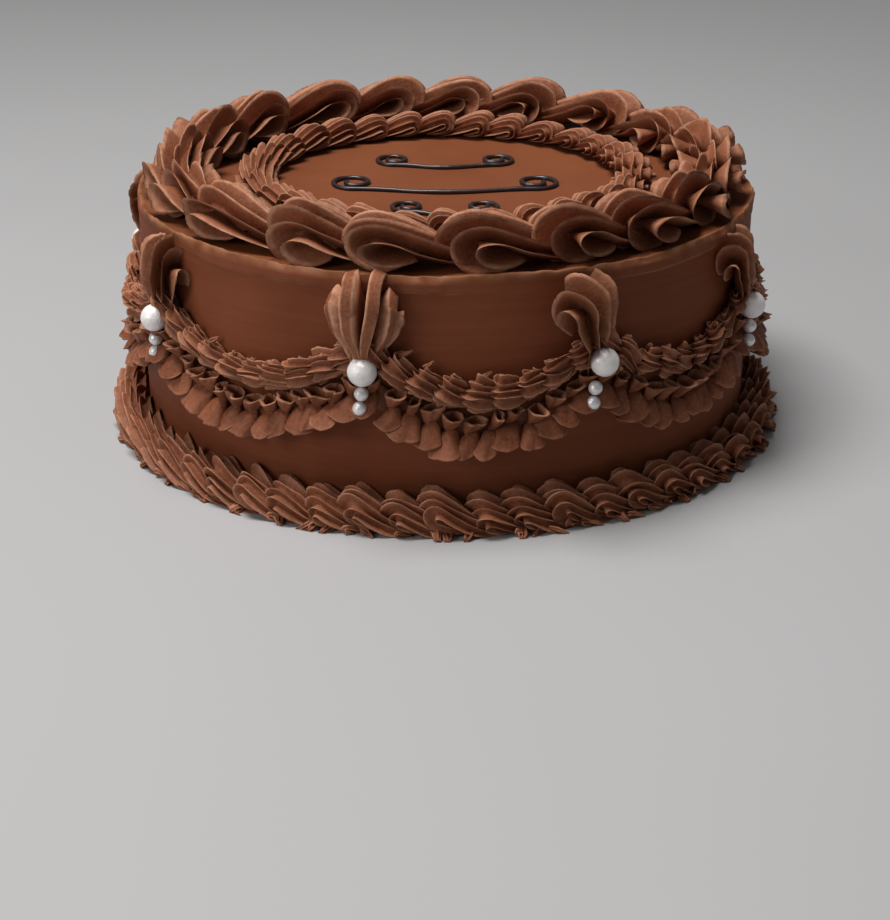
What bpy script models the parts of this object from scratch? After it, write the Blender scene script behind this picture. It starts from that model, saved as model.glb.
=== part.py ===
"""Round layer cake, iced and piped all over in chocolate buttercream and set with sugar pearls.

Metres, +Z up. The origin is the centre of the cake's flat underside and the front faces -Y.
Angles are degrees from the front, growing to the right and on round the back.
"""

import math
import random
from dataclasses import dataclass

import bmesh
import bpy
from mathutils import Vector

TIN_RADIUS = 0.1016
ICING = 0.0024
BODY_RADIUS = TIN_RADIUS + ICING
BODY_HEIGHT = 0.0795
RIM_LIP = 0.0009
BODY_STEPS = 60
GAP = 0.0004
SIDE = BODY_RADIUS + GAP
TOP = BODY_HEIGHT + GAP

RUFFLE_HEADS = (
    5, 23, 39, 58, 73, 88, 101, 116, 136, 157, 174, 191, 207, 228, 244, 260, 276, 291, 307, 331, 346,
)
RUFFLE_RADIUS = 0.0893
RUFFLE_HEIGHT = 0.0165
RUFFLE_HALF_WIDTH = 0.0126

RUFFLE_TUCK = 0.0050
FOOT_STEP = 0.00015

SHELL_PHASES = ((0, 0.62, 0.60), (0.14, 0.97, 0.94), (0.45, 1, 1))
SHELL_FOOT = 0.86

JUNCTIONS = (-103, -57.5, -13, 26, 65, 108, 145, 182, 219)
PLUME_HINGE = 0.0662
PLUME_HALF_WIDTH = 0.0132
PLUME_DEPTH = 0.0098
PLUME_RISE = 0.0185
PLUME_TAIL = 0.0365

PEARL_RADIUS = 0.0045
PEARL_HEIGHT = 0.0520
PEARL_SEAT = 0.0010
PEARL_CENTRE = SIDE + PEARL_SEAT + GAP + PEARL_RADIUS
DROP_RADIUS = 0.0022
DROP_HEIGHTS = (0.0448, 0.0400)
DROP_CENTRE = SIDE + 0.0058

SWAG_END = 0.0575
SWAG_MIDDLE = 0.0450
SWAG_SHELLS = 8
SWAG_HALF_HEIGHT = 0.0046
SWAG_DEPTH = 0.0072
FRILL_HEIGHT = 0.0145
FRILL_PLEATS = 11
FRILL_DEPTH = 0.0056
JUNCTION_CLEARANCE = 0.0054

STROKE_RADIUS = 0.0008
DIP_POINTS = 4
SPIRAL_POINTS = 14


@dataclass(frozen=True)
class Station:
    """One section plane of a piped shell, hinged on the line across the shell's head."""

    along: float
    lift: float
    turn: float
    reach: float
    half_width: float


@dataclass(frozen=True)
class Ring:
    """A border of small shells piped on a circle."""

    name: str
    count: int
    radius: float
    half_width: float
    height: float
    crest: float
    floor: float
    wall: float
    seed: int


@dataclass(frozen=True)
class Tip:
    """A star tip: how many fins it presses and how much of the section its grooves take."""

    fins: int
    groove: float

    def ribs(self):
        """Angle across the shell and share of the full size, for every groove and fin."""
        steps = 2 * self.fins
        for step in range(steps + 1):
            yield 180 * step / steps - 90, 1 if step % 2 else 1 - self.groove


RUFFLE_TIP = Tip(fins=3, groove=0.42)
PLUME_TIP = Tip(fins=4, groove=0.36)

INNER_RING = Ring("inner_shell_border", 30, 0.0640, 0.0076, 0.0096, 0.0640, TOP, 0, 5)
BASE_RING = Ring("base_shell_border", 55, 0.1098, 0.0066, 0.0142, 0.1088, 0, SIDE, 7)


def on_cake(angle, radius, height):
    """The point at an angle from the front, a distance from the axis and a height."""
    turn = math.radians(angle)
    return Vector((radius * math.sin(turn), -radius * math.cos(turn), height))


def clear_scene():
    """Remove every object of the scene, so that only the cake is left."""
    for obj in list(bpy.data.objects):
        bpy.data.objects.remove(obj, do_unlink=True)


def new_collection(name):
    """Link an empty collection to the scene."""
    collection = bpy.data.collections.new(name)
    bpy.context.scene.collection.children.link(collection)
    return collection


def new_material(name, colour, roughness):
    """A Principled material of one colour."""
    material = bpy.data.materials.new(name)
    material.use_nodes = True
    shader = material.node_tree.nodes["Principled BSDF"]
    shader.inputs["Base Color"].default_value = (*colour, 1)
    shader.inputs["Roughness"].default_value = roughness
    shader.inputs["Metallic"].default_value = 0
    return material


def finish_mesh(bm, name, material, collection):
    """Turn a bmesh into a smooth-shaded object, with its faces pointing out."""
    bmesh.ops.remove_doubles(bm, verts=bm.verts, dist=0.00002)
    bmesh.ops.recalc_face_normals(bm, faces=bm.faces)
    mesh = bpy.data.meshes.new(name)
    bm.to_mesh(mesh)
    bm.free()
    mesh.shade_smooth()
    mesh.set_sharp_from_angle(angle=math.radians(40))
    mesh.materials.append(material)
    obj = bpy.data.objects.new(name, mesh)
    collection.objects.link(obj)
    return obj


def loft(rings, name, material, collection, closed=False):
    """Skin a row of closed sections, and close both ends, or join the last to the first."""
    bm = bmesh.new()
    rows = [[bm.verts.new(point) for point in ring] for ring in rings]
    count = len(rows[0])
    following = rows[1:] + rows[:1] if closed else rows[1:]
    for row, after in zip(rows, following):
        for i in range(count):
            j = (i + 1) % count
            bm.faces.new((row[i], row[j], after[j], after[i]))
    if not closed:
        bm.faces.new(rows[0])
        bm.faces.new(rows[-1])
    return finish_mesh(bm, name, material, collection)


def shell(stations, tip, place, name, material, collection):
    """Skin the half sections of a piped shell: place maps along, across and up to the cake."""
    bm = bmesh.new()
    rows = []
    for station in stations:
        turn = math.radians(station.turn)
        row = []
        for angle, size in tip.ribs():
            out = station.reach * size * math.cos(math.radians(angle))
            across = station.half_width * size * math.sin(math.radians(angle))
            along = station.along + out * math.cos(turn)
            row.append(bm.verts.new(place(along, across, station.lift + out * math.sin(turn))))
        rows.append(row)
    for row, after in zip(rows, rows[1:]):
        for i in range(len(row) - 1):
            bm.faces.new((row[i], row[i + 1], after[i + 1], after[i]))
        bm.faces.new((row[0], after[0], after[-1], row[-1]))
    bm.faces.new(rows[0])
    bm.faces.new(rows[-1])
    return finish_mesh(bm, name, material, collection)


def union(pieces, name):
    """Fuse overlapping pieces into one body, and drop any scrap or sealed hollow."""
    first, *others = pieces
    first.name = name
    if others:
        group = bpy.data.collections.new(name + "_pieces")
        bpy.context.scene.collection.children.link(group)
        for piece in others:
            group.objects.link(piece)
        modifier = first.modifiers.new("Fuse", "BOOLEAN")
        modifier.operation = "UNION"
        modifier.operand_type = "COLLECTION"
        modifier.collection = group
        modifier.solver = "EXACT"
        modifier.use_self = True
        graph = bpy.context.evaluated_depsgraph_get()
        fused = bpy.data.meshes.new_from_object(first.evaluated_get(graph))
        first.modifiers.clear()
        first.data = fused
        for piece in others:
            bpy.data.objects.remove(piece, do_unlink=True)
        bpy.data.collections.remove(group)
    keep_largest(first)
    return first


def keep_largest(obj):
    """Keep only the connected body that has the most faces."""
    bm = bmesh.new()
    bm.from_mesh(obj.data)
    bmesh.ops.remove_doubles(bm, verts=bm.verts, dist=0.00001)
    bodies = []
    unseen = set(bm.verts)
    while unseen:
        body = {unseen.pop()}
        edge = list(body)
        while edge:
            vert = edge.pop()
            near = {link.other_vert(vert) for link in vert.link_edges} - body
            body |= near
            edge += near
        unseen -= body
        bodies.append(body)
    largest = max(bodies, key=len)
    scraps = [vert for vert in bm.verts if vert not in largest]
    bmesh.ops.delete(bm, geom=scraps, context="VERTS")
    bm.to_mesh(obj.data)
    bm.free()


def sphere(centre, radius, segments, name, material, collection):
    """A sugar pearl."""
    bm = bmesh.new()
    bmesh.ops.create_uvsphere(bm, u_segments=segments, v_segments=segments - 2, radius=radius)
    bmesh.ops.translate(bm, verts=bm.verts, vec=centre)
    return finish_mesh(bm, name, material, collection)


def cake_body(material, collection):
    """The iced cake itself, turned, with the rough lip where the side coat meets the top."""
    outline = (
        (0, BODY_HEIGHT),
        (BODY_RADIUS - 0.0032, BODY_HEIGHT),
        (BODY_RADIUS - 0.0014, BODY_HEIGHT + RIM_LIP),
        (BODY_RADIUS - 0.0002, BODY_HEIGHT - 0.0006),
        (BODY_RADIUS, BODY_HEIGHT - 0.0035),
        (BODY_RADIUS, 0.0012),
        (BODY_RADIUS - 0.0012, 0),
        (0, 0),
    )
    mesh = bpy.data.meshes.new("cake_body")
    edges = [(i, i + 1) for i in range(len(outline) - 1)]
    mesh.from_pydata([(radius, 0, height) for radius, height in outline], edges, [])
    mesh.materials.append(material)
    body = bpy.data.objects.new("cake_body", mesh)
    collection.objects.link(body)
    screw = body.modifiers.new("Turn", "SCREW")
    screw.steps = BODY_STEPS
    screw.render_steps = BODY_STEPS
    screw.use_merge_vertices = True
    screw.merge_threshold = 0.00001
    return body


def ruffle_stations(height, half_width, length):
    """Sections of a large shell, from under its head, round and over to the tip of its tail."""
    lift = 0.40 * height
    reach = height - lift
    for turn in (285, 215, 155, 105):
        yield Station(0, lift, turn, reach, half_width)
    for share in (0.5, 1):
        yield Station(
            length * share,
            lift * (1 - 0.75 * share),
            90 - 10 * share,
            reach * (1 - 0.40 * share),
            half_width * (1 - 0.45 * share),
        )


def along_ring(angle, ring_radius, floor):
    """Place a border's shell: along the ring, across it towards the axis, and up."""

    def place(along, across, up):
        turn = angle + math.degrees(along / ring_radius)
        return on_cake(turn, ring_radius - across, floor + max(up, 0))

    return place


def top_ruffles(material, collection):
    """The border of large ruffled shells round the top, unevenly spaced."""
    draw = random.Random(11)
    pieces = []
    for i, angle in enumerate(RUFFLE_HEADS):
        following = RUFFLE_HEADS[(i + 1) % len(RUFFLE_HEADS)]
        step = math.radians((following - angle) % 360) * RUFFLE_RADIUS
        stations = ruffle_stations(
            RUFFLE_HEIGHT * draw.uniform(0.93, 1.08),
            RUFFLE_HALF_WIDTH * draw.uniform(0.95, 1.03),
            step - RUFFLE_TUCK,
        )
        place = along_ring(angle, RUFFLE_RADIUS, TOP + FOOT_STEP * (i % 3))
        pieces.append(shell(stations, RUFFLE_TIP, place, f"ruffle_{i}", material, collection))
    return union(pieces, "top_ruffle_border")


def shell_ring(ring, material, collection):
    """A border of small shells: each has a steep round head and a long tail, and one runs into the next."""
    draw = random.Random(ring.seed)
    rings = []
    for i in range(ring.count):
        shell_height = ring.height * draw.uniform(0.90, 1.06)
        shell_width = ring.half_width * draw.uniform(0.92, 1.03)
        low = ring.floor
        for phase, rise, spread in SHELL_PHASES:
            angle = 360 * (i + phase) / ring.count
            high = low + rise * shell_height
            half = spread * shell_width
            inner = ring.wall or ring.radius - half
            foot = ring.wall or ring.radius - SHELL_FOOT * half
            rings.append(
                (
                    on_cake(angle, foot, low),
                    on_cake(angle, inner, 0.6 * low + 0.4 * high),
                    on_cake(angle, ring.crest, high),
                    on_cake(angle, ring.radius + half, 0.55 * low + 0.45 * high),
                    on_cake(angle, ring.radius + SHELL_FOOT * half, low),
                )
            )
    return loft(rings, ring.name, material, collection, closed=True)


def plume_stations():
    """Sections of a ruffle piped down the side, from behind its tall head to its thin tail."""
    lift = 0.14 * PLUME_DEPTH
    reach = PLUME_DEPTH - lift
    pinch = PLUME_HINGE - PEARL_HEIGHT - 1.25 * PEARL_RADIUS
    return (
        Station(0, lift, 210, 0.60 * PLUME_RISE, 0.95 * PLUME_HALF_WIDTH),
        Station(0, lift, 180, PLUME_RISE, PLUME_HALF_WIDTH),
        Station(0, lift, 142, 0.92 * PLUME_RISE, PLUME_HALF_WIDTH),
        Station(0, lift, 108, reach, PLUME_HALF_WIDTH),
        Station(0.40 * pinch, 0.6 * lift, 92, 0.85 * reach, 0.80 * PLUME_HALF_WIDTH),
        Station(pinch, 0, 90, 0.0048, 0.40 * PLUME_HALF_WIDTH),
        Station(pinch + 0.0014, 0, 90, PEARL_SEAT, 0.0036),
        Station(PLUME_HINGE - PEARL_HEIGHT + 0.0034, 0, 90, PEARL_SEAT, 0.0036),
        Station(PLUME_HINGE - DROP_HEIGHTS[0], 0, 90, 0.0044, 0.0034),
        Station(PLUME_HINGE - PLUME_TAIL, 0, 90, 0.0028, 0.0022),
    )


def down_side(angle):
    """Place a plume: down the side, across it to the right, and out from it."""

    def place(along, across, up):
        turn = angle + math.degrees(across / BODY_RADIUS)
        return on_cake(turn, SIDE + max(up, 0), PLUME_HINGE - along)

    return place


def plume(index, angle, icing, sugar, collection):
    """A plume where two swags meet, with the two small pearls set in its tail."""
    pieces = [shell(plume_stations(), PLUME_TIP, down_side(angle), f"fan_{index}", icing, collection)]
    for i, height in enumerate(DROP_HEIGHTS):
        centre = on_cake(angle - 0.4 * i, DROP_CENTRE, height)
        pieces.append(sphere(centre, DROP_RADIUS, 6, f"drop_{index}_{i}", sugar, collection))
    return union(pieces, f"plume_{index}")


def swag_height(share):
    """Height of a swag's middle line, at a share of the way from plume to plume."""
    return SWAG_MIDDLE + (SWAG_END - SWAG_MIDDLE) * (2 * share - 1) ** 2


def along_swag(start, end, steps):
    """Angles and shares of the way along a swag, clear of the plumes at its ends."""
    margin = math.degrees(JUNCTION_CLEARANCE / BODY_RADIUS)
    for step in range(steps + 1):
        angle = start + margin + (end - start - 2 * margin) * step / steps
        yield step, angle, (angle - start) / (end - start)


def swag(index, start, end, material, collection):
    """The garland of small overlapping shells that hangs from plume to plume."""
    rings = []
    for step, angle, share in along_swag(start, end, 2 * SWAG_SHELLS):
        size = 1 if step % 2 else 0.80
        middle = swag_height(share)
        half = SWAG_HALF_HEIGHT * size
        rings.append(
            (
                on_cake(angle, SIDE, middle - half),
                on_cake(angle, SIDE + SWAG_DEPTH * size, middle - 0.35 * half),
                on_cake(angle, SIDE + SWAG_DEPTH * 0.62 * size, middle + 0.7 * half),
                on_cake(angle, SIDE, middle + half),
            )
        )
    return loft(rings, f"swag_{index}", material, collection)


def frill(index, start, end, material, collection):
    """The pleated frill under a swag: small loops above, a waist, and a flared skirt."""
    rings = []
    for step, angle, share in along_swag(start, end, 2 * FRILL_PLEATS):
        depth = FRILL_DEPTH if step % 2 else FRILL_DEPTH * 0.45
        top = swag_height(share) - SWAG_HALF_HEIGHT - 0.0004
        rings.append(
            (
                on_cake(angle, SIDE, top - FRILL_HEIGHT),
                on_cake(angle, SIDE + depth, top - 0.96 * FRILL_HEIGHT),
                on_cake(angle, SIDE + 0.55 * depth, top - 0.50 * FRILL_HEIGHT),
                on_cake(angle, SIDE + depth, top - 0.08 * FRILL_HEIGHT),
                on_cake(angle, SIDE, top),
            )
        )
    return loft(rings, f"frill_{index}", material, collection)


def flourish(name, centre, half_span, curl, material, collection):
    """A piped line of ornament: a shallow dip that runs up into a spiral at each end."""
    half = []
    for step in range(1, DIP_POINTS):
        share = step / DIP_POINTS
        half.append((half_span * share, -0.25 * curl * (1 + math.cos(math.pi * share))))
    for step in range(SPIRAL_POINTS):
        share = step / (SPIRAL_POINTS - 1)
        turn = 2.7 * math.pi * share
        size = curl * (1 - 0.72 * share)
        half.append((half_span + size * math.sin(turn), curl - size * math.cos(turn)))
    outline = [(-x, y) for x, y in reversed(half)] + [(0, -0.5 * curl)] + half
    curve = bpy.data.curves.new(name, "CURVE")
    curve.dimensions = "3D"
    curve.bevel_depth = STROKE_RADIUS
    curve.bevel_resolution = 0
    curve.use_fill_caps = True
    spline = curve.splines.new("POLY")
    spline.points.add(len(outline) - 1)
    for point, (x, y) in zip(spline.points, outline):
        point.co = (x, centre + y, TOP + STROKE_RADIUS, 1)
    curve.materials.append(material)
    stroke = bpy.data.objects.new(name, curve)
    collection.objects.link(stroke)
    return stroke


def main():
    """Build the cake, piece by piece."""
    clear_scene()
    cake = new_collection("layer_cake")
    icing = new_material("chocolate_buttercream", (0.156, 0.052, 0.026), 0.55)
    smooth = new_material("smoothed_buttercream", (0.190, 0.070, 0.034), 0.5)
    sugar = new_material("sugar_pearl", (0.84, 0.81, 0.79), 0.35)
    dark = new_material("dark_chocolate", (0.016, 0.010, 0.012), 0.35)

    cake_body(smooth, cake)
    top_ruffles(icing, cake)
    shell_ring(INNER_RING, icing, cake)
    shell_ring(BASE_RING, icing, cake)
    for i, angle in enumerate(JUNCTIONS, start=1):
        following = JUNCTIONS[i] if i < len(JUNCTIONS) else JUNCTIONS[0] + 360
        plume(i, angle, icing, sugar, cake)
        sphere(on_cake(angle, PEARL_CENTRE, PEARL_HEIGHT), PEARL_RADIUS, 8, f"pearl_{i}", sugar, cake)
        swag(i, angle, following, icing, cake)
        frill(i, angle, following, icing, cake)
    flourish("flourish_back", 0.021, 0.018, 0.0066, dark, cake)
    flourish("flourish_middle", -0.009, 0.031, 0.0080, dark, cake)
    flourish("flourish_front", -0.036, 0.012, 0.0060, dark, cake)


main()
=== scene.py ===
"""Looks of a round layer cake: smoothed and piped chocolate buttercream, sugar pearls, a pale studio.

Lengths are in metres. The cake's axis is +Z, its front faces -Y, and angles are degrees from the
front, growing to the right and on round the back. Piping is built as the nozzle makes it: a star
tip's fins are carried along a path, and every shell is one loft of such sections.
"""

from __future__ import annotations

import itertools
import logging
import math
from dataclasses import dataclass, replace
from enum import Enum

import bmesh
import bpy
import numpy as np
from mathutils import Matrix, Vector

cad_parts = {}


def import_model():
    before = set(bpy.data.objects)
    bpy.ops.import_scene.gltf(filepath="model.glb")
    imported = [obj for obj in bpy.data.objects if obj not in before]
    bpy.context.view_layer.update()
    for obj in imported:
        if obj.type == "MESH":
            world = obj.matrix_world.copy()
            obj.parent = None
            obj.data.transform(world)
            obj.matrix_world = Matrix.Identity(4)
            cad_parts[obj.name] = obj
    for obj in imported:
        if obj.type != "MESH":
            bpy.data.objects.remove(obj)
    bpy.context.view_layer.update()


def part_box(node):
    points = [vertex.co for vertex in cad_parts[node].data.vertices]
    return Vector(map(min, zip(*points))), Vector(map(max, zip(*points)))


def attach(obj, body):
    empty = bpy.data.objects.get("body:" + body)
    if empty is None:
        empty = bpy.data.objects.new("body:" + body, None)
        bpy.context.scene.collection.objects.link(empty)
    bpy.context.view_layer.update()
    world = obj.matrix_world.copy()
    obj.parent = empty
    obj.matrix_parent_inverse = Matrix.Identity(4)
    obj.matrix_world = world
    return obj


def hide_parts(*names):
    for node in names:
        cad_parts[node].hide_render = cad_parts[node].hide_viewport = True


LOG = logging.getLogger("cake")
BODY = "root"
Array = np.ndarray
Colour = tuple[float, float, float]
Shape = tuple[Array, Array, Array, Array]
HASH_PRIMES = (73856093, 19349663, 83492791)
SEED_PRIME = 2654435761
MIX_PRIME = 1274126177
WELD = 0.000004


def on_cake(angle: Array | float, radius: Array | float, height: Array | float) -> Array:
    """Points on the cake.

    Args:
        angle: Degrees from the front.
        radius: Distance from the axis.
        height: Height above the underside.

    Returns:
        Points, with the coordinates on the last axis.
    """
    turn = np.radians(angle)
    parts = np.broadcast_arrays(radius * np.sin(turn), -radius * np.cos(turn), height)
    return np.stack(parts, axis=-1)


def drift(draw: np.random.Generator, pace: float, *places: Array) -> Array:
    """Smooth random wandering between about -1 and 1.

    Args:
        draw: Seeded random numbers.
        pace: Waves in one unit of a place.
        places: Coordinates that the wandering runs over.

    Returns:
        One value for each point.
    """
    total: Array | float = 0.0
    for octave in range(1, 4):
        phase = draw.uniform(0, 2 * math.pi)
        for place in places:
            waves = 2 * math.pi * pace * octave * draw.uniform(0.6, 1.3) * draw.choice((-1, 1))
            phase = phase + waves * place
        total = total + np.sin(phase) / octave
    return total / 1.5


def lumps(points: Array, size: float, seed: int) -> Array:
    """Soft noise in space.

    Args:
        points: Points, with the coordinates on the last axis.
        size: Distance between lumps.
        seed: Which noise to take.

    Returns:
        One value between -1 and 1 for each point.
    """
    grid = points / size
    cell = np.floor(grid).astype(np.int64)
    part = grid - cell
    ease = part * part * (3 - 2 * part)
    total = np.zeros(points.shape[:-1])
    for corner in itertools.product((0, 1), repeat=3):
        mixed = np.bitwise_xor.reduce((cell + corner) * HASH_PRIMES, axis=-1) ^ (seed * SEED_PRIME)
        mixed = (mixed ^ (mixed >> 13)) * MIX_PRIME
        value = ((mixed ^ (mixed >> 16)) & 0xFFFF) / 0xFFFF
        total += np.prod(np.where(corner, ease, 1 - ease), axis=-1) * value
    return 2 * total - 1


def bell(value: Array, middle: float | Array, width: float) -> Array:
    """1 at the middle, falling away smoothly over the width."""
    return np.exp(-(((value - middle) / width) ** 2))


class Skin:
    """Collects lofted grids of points and turns them into one mesh."""

    def __init__(self) -> None:
        """Start with nothing."""
        self._points: list[Array] = []
        self._faces: list[Array] = []
        self._edges: list[Array] = []
        self._count = 0

    def _add(self, points: Array, faces: Array, edge: Array) -> None:
        """Keep a patch until the piece is made.

        Args:
            points: Its points, with the coordinates on the last axis.
            faces: Its four-cornered faces, as the numbers of their points.
            edge: How strongly each point takes the pale edge colour, mostly its nearness to a blade's edge.
        """
        self._points.append(points.reshape(-1, 3))
        self._faces.append(faces + self._count)
        self._edges.append(edge.reshape(-1))
        self._count += points.reshape(-1, 3).shape[0]

    def loft(self, rows: Array, edge: Array, ends: bool = True) -> None:
        """Skin a row of closed sections.

        Args:
            rows: Points, (sections, points of a section, 3).
            edge: How strongly each point takes the pale edge colour, (sections, points of a section).
            ends: Close both ends, or else join the last section to the first.
        """
        count, width = rows.shape[:2]
        index = np.arange(count * width).reshape(count, width)
        after = np.roll(index, -1, axis=0)
        side = np.roll(index, -1, axis=1)
        corner = np.roll(after, -1, axis=1)
        last = count - 1 if ends else count
        faces = np.stack((index, side, corner, after), axis=-1)[:last].reshape(-1, 4)
        if ends:
            faces = np.concatenate((faces, self._cap(index[0][::-1]), self._cap(index[-1])))
        self._add(rows, faces, edge)

    @staticmethod
    def _cap(ring: Array) -> Array:
        """Close a section, with points paired across it from the first.

        Args:
            ring: Numbers of the section's points, in order.

        Returns:
            The four-cornered faces.
        """
        half = (len(ring) - 2) // 2
        low = np.arange(half)
        high = len(ring) - 1 - low
        return np.stack((ring[low], ring[low + 1], ring[high - 1], ring[high]), axis=-1)

    def build(self, name: str, finish: Finish, node: str) -> bpy.types.Object:
        """Make the piece.

        Args:
            name: The piece's name.
            finish: What it is covered with.
            node: The CAD node that it replaces.

        Returns:
            The new object, riding on the cake.
        """
        points = np.concatenate(self._points)
        faces = np.concatenate(self._faces)
        mesh = bpy.data.meshes.new(name)
        mesh.vertices.add(len(points))
        mesh.vertices.foreach_set("co", points.astype(np.float32).ravel())
        mesh.loops.add(faces.size)
        mesh.loops.foreach_set("vertex_index", faces.astype(np.int32).ravel())
        mesh.polygons.add(len(faces))
        mesh.polygons.foreach_set("loop_start", np.arange(0, faces.size, 4, dtype=np.int32))
        mesh.update(calc_edges=True)
        layer = mesh.attributes.new("edge", "FLOAT", "POINT")
        layer.data.foreach_set("value", np.concatenate(self._edges).astype(np.float32))
        weld(mesh)
        return dress(bpy.data.objects.new(name, mesh), finish, node)


def weld(mesh: bpy.types.Mesh) -> None:
    """Merge points that lie on each other, drop faces with no area, and turn all faces outwards.

    Args:
        mesh: The mesh, which is changed.
    """
    bm = bmesh.new()
    bm.from_mesh(mesh)
    bmesh.ops.remove_doubles(bm, verts=bm.verts, dist=WELD)
    bmesh.ops.dissolve_degenerate(bm, dist=WELD, edges=bm.edges)
    bmesh.ops.recalc_face_normals(bm, faces=bm.faces)
    bm.to_mesh(mesh)
    bm.free()
    mesh.shade_smooth()


def dress(piece: bpy.types.Object, finish: Finish, node: str) -> bpy.types.Object:
    """Link a piece, give it its material and make it ride on the cake.

    Args:
        piece: The new object.
        finish: What it is covered with.
        node: The CAD node that it replaces, alone or with other pieces.

    Returns:
        The same object.
    """
    bpy.context.scene.collection.objects.link(piece)
    piece.data.materials.append(finish.material())
    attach(piece, BODY)
    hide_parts(node)
    LOG.info("%s: %d faces", piece.name, len(piece.data.polygons))
    return piece


class Wire:
    """A node's output that takes part in Python arithmetic by adding Math nodes."""

    def __init__(self, recipe: Recipe, socket: bpy.types.NodeSocket) -> None:
        """Wrap a socket of a recipe's tree."""
        self.recipe = recipe
        self.socket = socket

    def _math(self, operation: str, first: Wire | float, second: Wire | float) -> Wire:
        """Add one Math node."""
        return self.recipe.node("ShaderNodeMath", {"operation": operation}, {0: first, 1: second})

    def __add__(self, other: Wire | float) -> Wire:
        """Sum."""
        return self._math("ADD", self, other)

    def __mul__(self, other: Wire | float) -> Wire:
        """Product."""
        return self._math("MULTIPLY", self, other)

    def __sub__(self, other: Wire | float) -> Wire:
        """Difference."""
        return self._math("SUBTRACT", self, other)

    def __rsub__(self, other: Wire | float) -> Wire:
        """Difference from a number."""
        return self._math("SUBTRACT", other, self)

    __radd__ = __add__
    __rmul__ = __mul__


class Recipe:
    """The node tree of one material."""

    def __init__(self, name: str) -> None:
        """Make an empty material with a Principled shader.

        Args:
            name: The material's name.
        """
        self.material = bpy.data.materials.new(name)
        self.material.use_nodes = True
        self._tree = self.material.node_tree
        self.shader = self._tree.nodes["Principled BSDF"]

    def _feed(self, socket: bpy.types.NodeSocket, value: object) -> None:
        """Link or set one socket.

        Args:
            socket: A node's input.
            value: A link, a colour, a vector or a number.
        """
        if isinstance(value, Wire):
            self._tree.links.new(value.socket, socket)
        elif socket.type == "RGBA":
            socket.default_value = (*value, 1)
        else:
            socket.default_value = value

    def node(
        self,
        kind: str,
        settings: dict[str, object],
        sockets: dict[str | int, object],
        output: str | int = 0,
    ) -> Wire:
        """Add a node.

        Args:
            kind: The node's type.
            settings: Its own settings, set first.
            sockets: Values or links of its inputs, by name or number.
            output: Which output is wanted.

        Returns:
            That output.
        """
        node = self._tree.nodes.new(kind)
        for key, value in settings.items():
            setattr(node, key, value)
        for key, value in sockets.items():
            self._feed(node.inputs[key], value)
        return Wire(self, node.outputs[output])

    def noise(self, where: Wire, scale: float, detail: float) -> Wire:
        """Noise in space, with scale in waves for each metre."""
        sockets = {"Vector": where, "Scale": scale, "Detail": detail}
        return self.node("ShaderNodeTexNoise", {}, sockets, "Fac")

    def ramp(self, value: Wire, low: float, high: float) -> Wire:
        """A value brought from the range low to high to 0 to 1, held there."""
        sockets = {"Value": value, "From Min": low, "From Max": high}
        return self.node("ShaderNodeMapRange", {"clamp": True}, sockets)

    def blend(self, share: Wire, first: Wire | Colour, second: Wire | Colour) -> Wire:
        """A colour between two colours."""
        return self.node("ShaderNodeMix", {"data_type": "RGBA"}, {0: share, 6: first, 7: second}, 2)

    def place(self) -> Wire:
        """The point's place on the cake."""
        return self.node("ShaderNodeTexCoord", {}, {}, "Object")

    def mark(self, name: str) -> Wire:
        """A value stored on the mesh."""
        return self.node("ShaderNodeAttribute", {"attribute_name": name}, {}, "Fac")

    def bump(self, height: Wire, distance: float, strength: float) -> Wire:
        """A normal raised by a height map."""
        sockets = {"Height": height, "Distance": distance, "Strength": strength}
        return self.node("ShaderNodeBump", {}, sockets)

    def set(self, **sockets: object) -> None:
        """Set the shader's sockets; a name's underscores stand for spaces."""
        for key, value in sockets.items():
            self._feed(self.shader.inputs[key.replace("_", " ")], value)


@dataclass(frozen=True)
class Finish:
    """What a piece is covered with.

    Attributes:
        name: The material's name.
        slot: Name of its material slot, not used in this script; empty for the studio's own.
    """

    name: str
    slot: str

    def material(self) -> bpy.types.Material:
        """The finish's material, made once."""
        return bpy.data.materials.get(self.name) or self.mixed()

    def mixed(self) -> bpy.types.Material:
        """Make the material."""
        raise NotImplementedError


@dataclass(frozen=True)
class Cream(Finish):
    """What both buttercream coats share.

    Attributes:
        deep: The darkest of the cream's own colours.
        light: The lightest of them.
        dried_and_highlit: Its paler colour at a thin edge, partly a drier crust and partly painted
            highlight.
        highlight_and_dry_strength: How far such an edge takes that colour.
        roughness: Its mean roughness.
        mirror: How much light its surface throws back.
        relief: Height of its pores and streaks.
        seep: How far light passes under its surface, and seep_radius how deep each colour goes.
    """

    deep: Colour
    light: Colour
    dried_and_highlit: Colour
    highlight_and_dry_strength: float
    roughness: float
    mirror: float
    relief: float
    seep: float = 0.08
    seep_radius: Colour = (0.0018, 0.0008, 0.0004)

    def coat(self, recipe: Recipe, colour: Wire, dry_and_highlit: Wire, mottle: Wire) -> bpy.types.Material:
        """Finish the material.

        Args:
            recipe: The material's tree.
            colour: The cream's colour away from its edges.
            dry_and_highlit: How far each point takes that paler colour of drier crust and painted
                highlight, from 0 to 1.
            mottle: What its roughness varies with, from 0 to 1.

        Returns:
            The material.
        """
        recipe.set(
            # Thin edges take a paler colour: partly a drier crust, partly painted highlight.
            Base_Color=recipe.blend(dry_and_highlit * self.highlight_and_dry_strength, colour, self.dried_and_highlit),
            Roughness=self.roughness + (mottle - 0.5) * 0.25,
            Specular_IOR_Level=self.mirror,
            Subsurface_Weight=self.seep,
            Subsurface_Radius=self.seep_radius,
        )
        return recipe.material


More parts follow.
